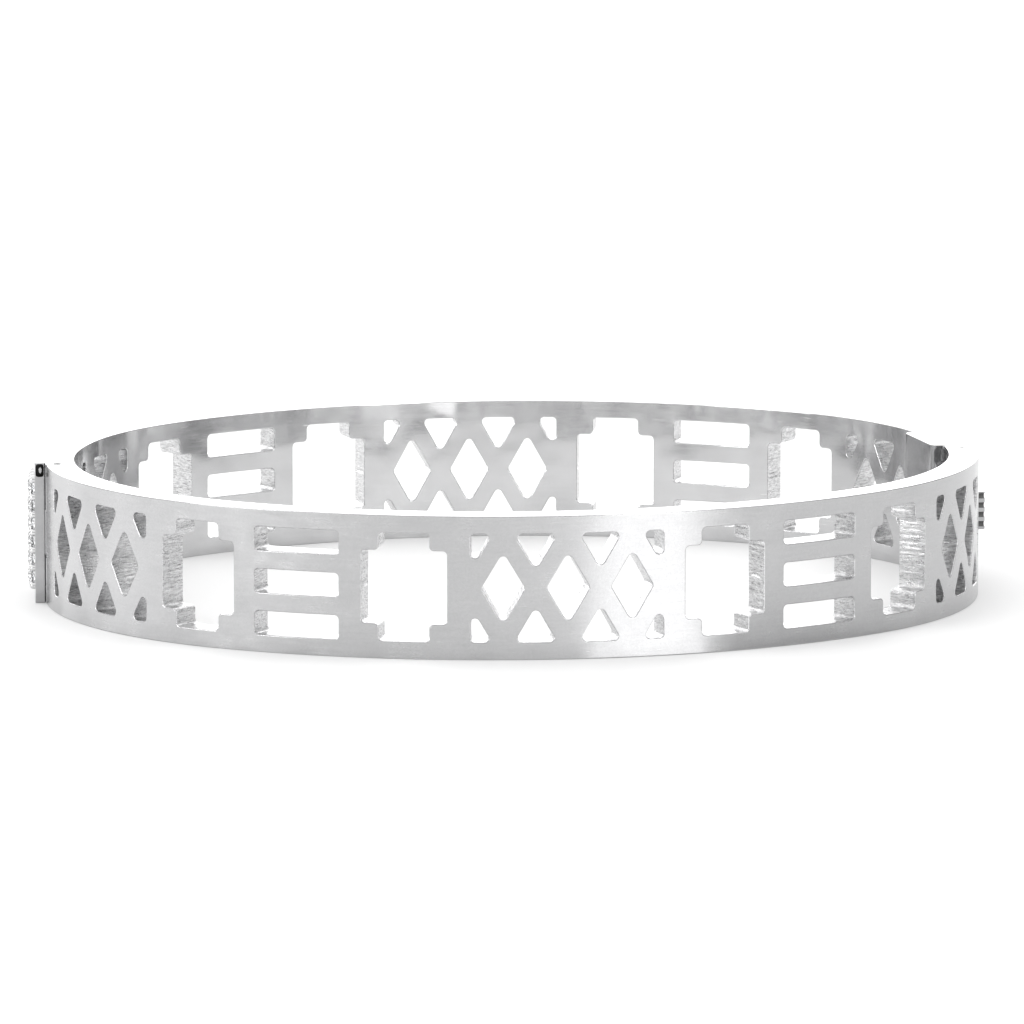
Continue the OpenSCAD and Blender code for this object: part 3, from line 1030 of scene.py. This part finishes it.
def steel(name, look):
    # one recipe for every steel finish: clouds in colour and roughness, grain, slow waves and hairlines
    material, tree, shader = newMaterial(name)
    shader["Metallic"].default_value = 1.0
    clouds = useGroup(tree, mottle, look["clouds"], *look["rough"])
    lines = useGroup(tree, grain, look["lines"], look["breaks"])
    slow = useGroup(tree, waves, look["waves"], look["waveHigh"])
    marks = useGroup(tree, hairlines, look["markLines"], look["markBreaks"], look["marks"])["Mask"]
    specks = useGroup(tree, sand, look["grains"], look["grainHigh"])
    tint = times(tree, clouds["Mask"], 1 - look["streaks"] - look["speckle"])
    tint = plus(tree, tint, times(tree, rampNode(tree, lines["Mask"]), look["streaks"]))
    tint = plus(tree, tint, times(tree, specks["Mask"], look["speckle"]), clamp=True)
    colour = mixColour(tree, tint, look["dark"], look["light"])
    feed(tree, shader["Base Color"], mixColour(tree, marks, colour, look["mark"]))
    rough = plus(tree, clouds["Value"], times(tree, lines["Height"], look["roughGrain"]))
    feed(tree, shader["Roughness"], plus(tree, rough, times(tree, marks, look["markRough"]), clamp=True))
    height = plus(tree, times(tree, lines["Height"], look["bump"]), slow["Height"])
    height = plus(tree, height, specks["Height"])
    height = mathNode(tree, "SUBTRACT", height, times(tree, marks, look["markDeep"]))
    bump = tree.nodes.new("ShaderNodeBump")
    feedAll(tree, bump.inputs, {"Strength": 1.0, "Distance": mm, "Height": height})
    feed(tree, shader["Normal"], bump.outputs[0])
    return material


# The metal's colour runs from dark to light, and a scratch has the colour mark. Clouds, lines, breaks, grains
# and waves are counts per mm, bump, grainHigh, waveHigh and markDeep are heights in mm, the rest are shares
satinSteel = steel("satinSteel", {
    "dark": (0.425, 0.425, 0.43), "light": (0.53, 0.53, 0.535), "mark": (0.6, 0.6, 0.605),
    "rough": (0.19, 0.27), "clouds": 0.5, "lines": 8.0, "breaks": 0.5, "streaks": 0.3, "roughGrain": 0.14,
    "bump": 0.0012, "grains": 7.5, "speckle": 0.35, "grainHigh": 0.0024, "waves": 0.28, "waveHigh": 0.012,
    "markLines": 11.0, "markBreaks": 0.9, "marks": 0.37, "markRough": 0.12, "markDeep": 0.001})
polish = {
    "dark": (0.6, 0.6, 0.605), "light": (0.66, 0.66, 0.665), "mark": (0.74, 0.74, 0.74),
    "rough": (0.08, 0.13), "clouds": 0.6, "lines": 6.0, "breaks": 0.8, "streaks": 0.2, "roughGrain": 0.06,
    "bump": 0.0005, "grains": 6.0, "speckle": 0.1, "grainHigh": 0.0002, "waves": 0.4, "waveHigh": 0.004,
    "markLines": 9.0, "markBreaks": 0.7, "marks": 0.37, "markRough": 0.1, "markDeep": 0.0008}
polishedSteel = steel("polishedSteel", polish)
# painted shade: a darker grey copy of the polished steel, for the plate's end, the pin in its recess, the
# inside of the clasp's box and the tongue with its thumb piece
greyShadeSteel = steel("greyShadeSteel", {
    **polish, "dark": (0.34, 0.34, 0.345), "light": (0.43, 0.43, 0.435), "mark": (0.55, 0.55, 0.55),
    "rough": (0.1, 0.17), "waves": 0.5, "waveHigh": 0.01})
innerSteel = steel("innerSteel", {
    "dark": (0.53, 0.53, 0.535), "light": (0.65, 0.65, 0.655), "mark": (0.74, 0.74, 0.74),
    "rough": (0.09, 0.17), "clouds": 0.35, "lines": 5.0, "breaks": 0.5, "streaks": 0.2, "roughGrain": 0.08,
    "bump": 0.0008, "grains": 6.0, "speckle": 0.1, "grainHigh": 0.0003, "waves": 0.33, "waveHigh": 0.085,
    "markLines": 8.0, "markBreaks": 0.6, "marks": 0.4, "markRough": 0.12, "markDeep": 0.001})
cutSteel = steel("cutSteel", {
    "dark": (0.34, 0.34, 0.345), "light": (0.93, 0.93, 0.935), "mark": (0.96, 0.96, 0.96),
    "rough": (0.24, 0.38), "clouds": 2.2, "lines": 13.0, "breaks": 2.2, "streaks": 0.6, "roughGrain": 0.3,
    "bump": 0.02, "grains": 10.0, "speckle": 0.3, "grainHigh": 0.009, "waves": 0.8, "waveHigh": 0.01,
    "markLines": 12.0, "markBreaks": 1.2, "marks": 0.5, "markRough": 0.1, "markDeep": 0.004})
# the look of the near-black steel that paints shade
paintedShadeLook = {
    "dark": (0.06, 0.06, 0.06), "light": (0.11, 0.11, 0.11), "mark": (0.25, 0.25, 0.25),
    "rough": (0.3, 0.45), "clouds": 2.0, "lines": 9.0, "breaks": 2.0, "streaks": 0.4, "roughGrain": 0.2,
    "bump": 0.004, "grains": 8.0, "speckle": 0.2, "grainHigh": 0.002, "waves": 0.8, "waveHigh": 0.01,
    "markLines": 9.0, "markBreaks": 1.0, "marks": 0.4, "markRough": 0.1, "markDeep": 0.001}
paintedShadeSteel = steel("paintedShadeSteel", paintedShadeLook)  # painted shade: a near-black copy of the steel, for the thumb piece's grooves and the bores
# painted shade: an almost black copy of the steel, for the plate's recess
paintedRecessShade = steel("paintedRecessShade", {
    **paintedShadeLook, "dark": (0.012, 0.012, 0.012), "light": (0.035, 0.035, 0.035)})


glassLook = {
    "dark": (0.96, 0.97, 0.98),
    "light": (1.0, 1.0, 1.0),
    "clouds": 1.5,
    "rough": (0.0, 0.03),
    "bends": 1.7,  # refractive index
}


def crystalGlass():
    material, tree, shader = newMaterial("crystalGlass")
    clouds = useGroup(tree, mottle, glassLook["clouds"], *glassLook["rough"])
    colour = mixColour(tree, clouds["Mask"], glassLook["dark"], glassLook["light"])
    feedAll(tree, shader, {"Base Color": colour, "Roughness": clouds["Value"]})
    shader["Metallic"].default_value = 0.0
    shader["Transmission Weight"].default_value = 1.0
    shader["IOR"].default_value = glassLook["bends"]
    return material


clearCrystal = crystalGlass()


def paint(piece, materials, finish=None):
    # finish gives each face its number in the materials
    mesh = piece.data
    mesh.materials.clear()
    for material in materials:
        mesh.materials.append(material)
    if finish is not None:
        mesh.polygons.foreach_set("material_index", finish.astype(np.int32))


sorting = {  # how the faces of a piece are told apart
    "facing": 0.6,  # least cosine between a face and the way its wall looks
    "standing": 0.5,  # an upright face looks up or down by less
    "near": 0.06,  # mm from a wall
    "rail": 0.6,  # mm of the height, and of the run, that no window reaches
    "ends": 2.5,
    "skin": 0.02,  # mm, for small features
    "slack": 0.05,
    "bottom": 0.3,  # a groove gets painted shade from that share of its depth
}


def dressBand(piece):
    # satin outside, polished rims and edges, softer polish inside and raw walls in the windows; painted shade
    # in the bores and inside the clasp's box
    satin, polished, softer, cut, paintedBoreShade, greyShade = range(6)
    normals, centres, _ = faceFacts(piece.data)
    depth, out, run = underOval(centres)
    x, y, height = centres.T
    outwards = np.einsum("ij,ij->i", normals[:, :2], out)
    standing = np.abs(normals[:, 2]) < sorting["standing"]
    rail, ends, near = sorting["rail"], sorting["ends"], sorting["near"]
    finish = np.full(len(normals), polished)
    finish[(height > rail) & (height < bandHeight - rail) & (run > ends) & (run < halfRun - ends)] = cut
    finish[(outwards > sorting["facing"]) & (depth < near)] = satin
    finish[(outwards < -sorting["facing"]) & (depth > oval["wall"] - near)] = softer
    # painted shade: faces set deeper than the inner face, inside the clasp's box, get the darker grey copy
    finish[standing & (depth > oval["wall"] + near)] = greyShade
    # painted shade: the walls of the bores get near-black steel
    bores = (clasp["rivet"], clasp["rivetRadius"] + clasp["rivetGap"]), (hingeAxis, hinge["bore"])
    for spot, radius in bores:
        fromAxis = np.hypot(x - spot[0], y - spot[1])
        finish[standing & (fromAxis < radius + sorting["skin"] / 2)] = paintedBoreShade
    paint(piece, (satinSteel, polishedSteel, innerSteel, cutSteel, paintedShadeSteel, greyShadeSteel), finish)


def dressPlate(piece):
    # polished under the stones, painted shade elsewhere: a darker grey copy of the steel on its end and on
    # the pin in the recess, and almost black steel in the recess itself
    bright, greyShade, dark = range(3)
    normals, centres, _ = faceFacts(piece.data)
    wide, high, deep = plate["peep"]
    skin, slack = sorting["skin"], sorting["slack"]
    away = centres[:, 1] - hinge["cornerSet"]
    across = centres[:, 0] + endX + plateInner + plate["thick"] / 2
    up = centres[:, 2] - (bandHeight - plate["peepDown"] - high / 2)
    # painted shade: the plate's end gets the darker grey copy
    finish = np.where((normals[:, 1] < -sorting["facing"]) & (away < 2 * slack), greyShade, bright)
    inside = (away > skin) & (away < deep + slack)
    inside &= (np.abs(across) < wide / 2 + slack) & (np.abs(up) < high / 2 + slack)
    fromPin = np.hypot(across - plate["peepPinAside"], up / plate["peepPinTall"])
    onPin = (fromPin < plate["peepPin"] + skin) & (away < deep - skin)
    # painted shade: almost black in the recess and darker grey on its pin
    finish[inside] = np.where(onPin[inside], greyShade, dark)
    paint(piece, (polishedSteel, greyShadeSteel, paintedRecessShade), finish)


def dressTongue(piece):
    # painted shade: the bottoms of the thumb piece's grooves get near-black steel, and the rest of the tongue
    # a darker grey copy of the steel
    _, centres, _ = faceFacts(piece.data)
    deep, last = thumbRibs["deep"], thumbRibs["count"] - 1
    sides = ((0, -1, outside + clasp["thumbOut"]), (1, 1, clasp["thumbFrom"]), (1, -1, clasp["thumbTo"]))
    under = np.min([(centres[:, axis] - face) * inwards for axis, inwards, face in sides], axis=0)
    groove = (centres[:, 2] - midHeight - thumbRibs["up"]) / thumbRibs["pitch"] + last / 2
    # dark marks the groove bottoms that get painted shade
    dark = (under > deep * sorting["bottom"]) & (under < deep + sorting["skin"])
    dark &= centres[:, 0] > outside - clasp["thumbOut"]
    dark &= np.abs(groove - np.round(groove)) * thumbRibs["pitch"] < thumbRibs["wide"] / 2
    dark &= (groove > -0.5) & (groove < last + 0.5)
    paint(piece, (greyShadeSteel, paintedShadeSteel), dark)


def dressPin(piece):
    paint(piece, [polishedSteel])


# The pieces

bandBack = backHalf()
bandFront = frontHalf()
for piece, node, body in ((bandBack, "back_half", "back"), (bandFront, "front_half", "front")):
    dressBand(piece)
    softNormals(piece)
    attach(piece, body)
    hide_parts(node)

small = [
    (claspTongue(), "clasp_tongue", "front", dressTongue),
    (pin("tonguePin", clasp["rivetRadius"], clasp["rivet"], *clasp["rivetIn"]),
     "tongue_pin", "front", dressPin),
    (pin("hingePin", hinge["pin"], hingeAxis, *hinge["pinIn"]), "hinge_pin", "back", dressPin),
    (crystalPlate(), "crystal_plate", "back", dressPlate),
]
for piece, node, body, dress in small:
    dress(piece)
    softNormals(piece, onOval=False)
    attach(piece, body)
    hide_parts(node)

print("stones")
chance = np.random.default_rng(stone["seed"])
for row, column in stonePlaces:
    gem = cutStone(f"stone_{row}_{column}", row, column, chance.uniform(0, math.pi / 4))
    paint(gem, [clearCrystal])
    gem.data.shade_flat()
    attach(gem, "back")
    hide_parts(f"crystal_{row}_{column}")


# The studio, in metres

studio = {
    "floorHalf": 2.5,
    "floorColour": (0.9, 0.9, 0.9),
    "floorRough": 0.8,
    "floorShine": 0.2,
    "world": 0.62,
    "lights": {  # place, size and watts
        "overhead": ((-0.1, 0.0, 0.7), (2.4, 2.4), 13.0),
        "behind": ((0.0, 0.75, 0.22), (1.2, 0.4), 3.2),
        "stripFront": ((0.254, -0.544, 0.12), (0.13, 0.24), 0.7),
        "leftSide": ((-0.63, -0.3, 0.13), (0.35, 0.16), 1.4),
    },
    "lightAim": (0, 0, 0.005),
    "cameraTurn": -8.0,
    "cameraRise": 9.04,
    "cameraFar": 0.762,
    "lens": 404.4,  # mm, as is the sensor
    "sensor": 36.0,
    "sees": (0.01, 10.0),  # the nearest and the farthest
    "aimHeight": 0.00548,
}


def makeFloor():
    print("floor")
    half = studio["floorHalf"]
    mesh = bpy.data.meshes.new("floor")
    mesh.from_pydata([(x, y, 0) for x, y in rectangle(-half, -half, half, half)], [], [(0, 1, 2, 3)])
    floor = placed("floor", mesh)
    material, _, shader = newMaterial("floorPaper")
    shader["Base Color"].default_value = (*studio["floorColour"], 1)
    shader["Roughness"].default_value = studio["floorRough"]
    shader["Specular IOR Level"].default_value = studio["floorShine"]
    mesh.materials.append(material)


def turned(thing, place, back):
    # lights and cameras look along their own -z, so back is where they look from
    thing.location = place
    thing.rotation_mode = "QUATERNION"
    thing.rotation_quaternion = back.to_track_quat("Z", "Y")


def makeLights():
    print("lights")
    world = bpy.data.worlds.new("studio")
    scene.world = world
    world.use_nodes = True
    background = world.node_tree.nodes["Background"].inputs
    background["Color"].default_value = (1, 1, 1, 1)
    background["Strength"].default_value = studio["world"]
    for name, (place, size, watts) in studio["lights"].items():
        light = bpy.data.lights.new(name, "AREA")
        light.shape = "RECTANGLE"
        light.size, light.size_y = size
        light.energy = watts
        turned(placed(name, light), place, Vector(place) - Vector(studio["lightAim"]))


# A clear card on the table in front of the bangle, which only polished things see: it glows to paint a
# highlight band and lighter patches into what the outer face mirrors, and it darkens what the face mirrors
# close to the foot on the right, as painted shade
paintedReflectionCard = {
    # where on the face, in degrees right of the front, and the radiance of the painted highlight that it
    # mirrors there
    "profile": ((-78, 0.25), (-67, 0.15), (-60, 0.32), (-51, 0.18), (-43, 0.0), (-15, 0.0), (1.0, 0.1),
                (3.4, 0.85), (14.0, 0.85), (15.5, 0.0)),
    # the painted shade's share, in the same way
    "paintedShade": ((14.5, 0.0), (18.0, 1.0), (30.0, 1.0), (42.0, 0.2), (50.0, 0.0)),
    # mm from the face, and how dark the painted shade is there
    "rings": ((0.1, 0.26), (4.0, 0.24), (12.0, 0.12), (28.0, 0.0), (95.0, 0.0)),
    "step": 1.0,  # degrees
    "height": 0.05,  # mm
}


def frontFace(turn):
    # where the front's outer face looks that many radians to the right, in mm
    out = Vector((math.sin(turn), -math.cos(turn)))
    if abs(out.x) > oval["lean"][0]:
        return Vector((math.copysign(endX, out.x), 0)) + out * endRadius
    return Vector((0, sideY)) + out * sideRadius


def paintedReflectionPaper():
    # the painted highlight adds light, and the clear part lets through what is behind, darkened where shade
    # is painted, but only on the upper side
    material, tree, _ = newMaterial("paintedReflectionPaper")
    tree.nodes.clear()
    kinds = ("Emission", "BsdfTransparent", "BsdfTransparent", "AddShader", "NewGeometry", "MixShader",
             "OutputMaterial")
    paintedHighlightNode, shadeFilter, clear, both, side, mix, out = [tree.nodes.new("ShaderNode" + kind) for kind in kinds]
    for label, socket in (("paintedHighlight", paintedHighlightNode.inputs["Strength"]), ("clearOfShade", shadeFilter.inputs["Color"])):
        value = tree.nodes.new("ShaderNodeAttribute")
        value.attribute_name = label
        feed(tree, socket, value.outputs["Fac"])
    feed(tree, both.inputs[0], paintedHighlightNode.outputs[0])
    feed(tree, both.inputs[1], shadeFilter.outputs[0])
    for i, source in enumerate((side.outputs["Backfacing"], both.outputs[0], clear.outputs[0])):
        feed(tree, mix.inputs[i], source)
    feed(tree, out.inputs["Surface"], mix.outputs[0])
    return material


def makePaintedReflectionCard():
    # it fans out along the lines of sight that the face turns back
    print("glow card")
    degrees, radiances = zip(*paintedReflectionCard["profile"])
    paintedShadeDegrees, paintedShades = zip(*paintedReflectionCard["paintedShade"])
    sight = math.radians(studio["cameraTurn"])
    verts, paintedHighlight, clearOfShade = [], [], []
    for degree in np.arange(degrees[0], paintedShadeDegrees[-1] + paintedReflectionCard["step"] / 2, paintedReflectionCard["step"]):
        turn = math.radians(degree)
        away = Vector((math.sin(2 * turn - sight), -math.cos(2 * turn - sight)))
        for far, paintedShade in paintedReflectionCard["rings"]:
            verts.append([v * mm for v in (*(frontFace(turn) + away * far), paintedReflectionCard["height"])])
            # painted highlight: what the card gives the reflection at this place
            paintedHighlight.append(float(np.interp(degree, degrees, radiances)))
            # painted shade: how much of the mirrored floor the card lets through here
            clearOfShade.append(1 - paintedShade * float(np.interp(degree, paintedShadeDegrees, paintedShades)))
    count = len(paintedReflectionCard["rings"])
    faces = [(i, i + 1, i + 1 + count, i + count) for i in range(len(verts) - count) if i % count < count - 1]
    mesh = bpy.data.meshes.new("paintedReflectionCard")
    mesh.from_pydata(verts, [], faces)
    for label, values in (("paintedHighlight", paintedHighlight), ("clearOfShade", clearOfShade)):
        mesh.attributes.new(label, "FLOAT", "POINT").data.foreach_set("value", values)
    card = placed("paintedReflectionCard", mesh)
    card.visible_camera = False
    card.visible_diffuse = False
    card.visible_shadow = False
    mesh.materials.append(paintedReflectionPaper())


def makeCamera():
    camera = bpy.data.cameras.new("camera")
    camera.lens = studio["lens"]
    camera.sensor_width = studio["sensor"]
    camera.clip_start, camera.clip_end = studio["sees"]
    turn = math.radians(studio["cameraTurn"])
    rise = math.radians(studio["cameraRise"])
    back = Vector((math.sin(turn) * math.cos(rise), -math.cos(turn) * math.cos(rise), math.sin(rise)))
    holder = placed("camera", camera)
    turned(holder, Vector((0, 0, studio["aimHeight"])) + back * studio["cameraFar"], back)
    scene.camera = holder


makeFloor()
makeLights()
makePaintedReflectionCard()
makeCamera()
scene.view_settings.view_transform = "Standard"
